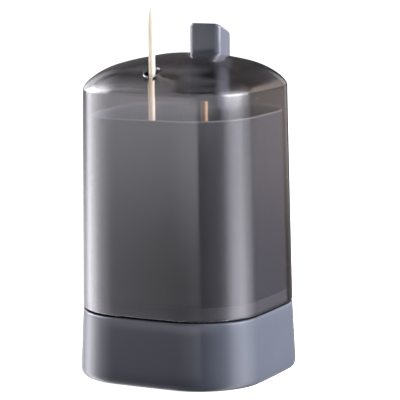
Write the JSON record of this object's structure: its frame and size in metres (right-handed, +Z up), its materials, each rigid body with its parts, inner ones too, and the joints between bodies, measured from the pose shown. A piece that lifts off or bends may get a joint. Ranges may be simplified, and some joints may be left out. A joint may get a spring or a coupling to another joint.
{
  "type": "toothpick holder",
  "caption": "Push-tab toothpick dispenser with a smoke see-through cover: a sprung tab works a lever and a lifter that raise one toothpick through the lid.",
  "frame": {"origin": "middle of the footprint, on the surface that the rubber feet stand on", "axes": "+Z up, -Y towards the front face with the toothpick outlet, +Y towards the press tab, +X to the right seen from the front"},
  "size_m": [0.062, 0.062, 0.1171],
  "materials": {
    "smoke_cover": "tawny smoke, see-through, glossy",
    "slate_plastic": "slate blue, satin",
    "hopper_plastic": "slate blue, satin",
    "floor_plastic": "slate grey, satin",
    "plate_plastic": "dark grey, fine matt",
    "steel": "drawn steel",
    "clip_steel": "blackened spring steel",
    "acetal": "natural white acetal",
    "bracket_plastic": "grey, satin",
    "foot_rubber": "black rubber",
    "birch": "pale birch wood"
  },
  "bodies": {
    "base": {"base_housing": "slate_plastic", "bottom_plate": "plate_plastic", "bottom_screws": "steel", "rubber_feet": "foot_rubber", "feed_floor": "floor_plastic", "hopper": "hopper_plastic", "hopper_screws": "steel", "pivot_bracket": "bracket_plastic", "bracket_screws": "steel", "lever_pivot_pin": "steel", "pivot_clips": "clip_steel", "stored_toothpick": "birch"},
    "lid": {"cover": "smoke_cover"},
    "tab": {"press_tab": "slate_plastic", "tab_stem": "steel", "stem_clip": "clip_steel", "push_fork": "bracket_plastic", "fork_pin": "steel", "push_pin": "steel", "return_spring": "steel"},
    "swing_lever": {"lever": "steel"},
    "lift_rod": {"lifter": "acetal", "lifter_pin": "steel"},
    "toothpick": {"raised_toothpick": "birch"}
  },
  "joints": [
    {"name": "tab_press", "type": "slide", "parent": "base", "child": "tab", "axis": [0, 0, -1], "range_m": [0, 0.0087], "stiffness_N_per_m": 250, "springref_m": -0.006, "deforming": ["return_spring"]},
    {"name": "lever_swing", "type": "hinge", "parent": "base", "child": "swing_lever", "pos_m": [0, 0.0214, 0.0203], "axis": [1, 0, 0], "range_deg": [0, 38.12]},
    {"name": "lifter_drop", "type": "slide", "parent": "base", "child": "lift_rod", "axis": [0, 0, -1], "range_m": [0, 0.02992]},
    {"name": "cover_lift", "type": "slide", "parent": "base", "child": "lid", "axis": [0, 0, 1], "range_m": [0, 0.1]},
    {"name": "toothpick_take", "type": "slide", "parent": "lift_rod", "child": "toothpick", "axis": [0, 0, 1], "range_m": [0, 0.07]}
  ],
  "couplings": [
    {"joint": "lever_swing", "follows": "tab_press", "rad_per_m": 76.425},
    {"joint": "lifter_drop", "follows": "tab_press", "ratio": 3.4368}
  ]
}
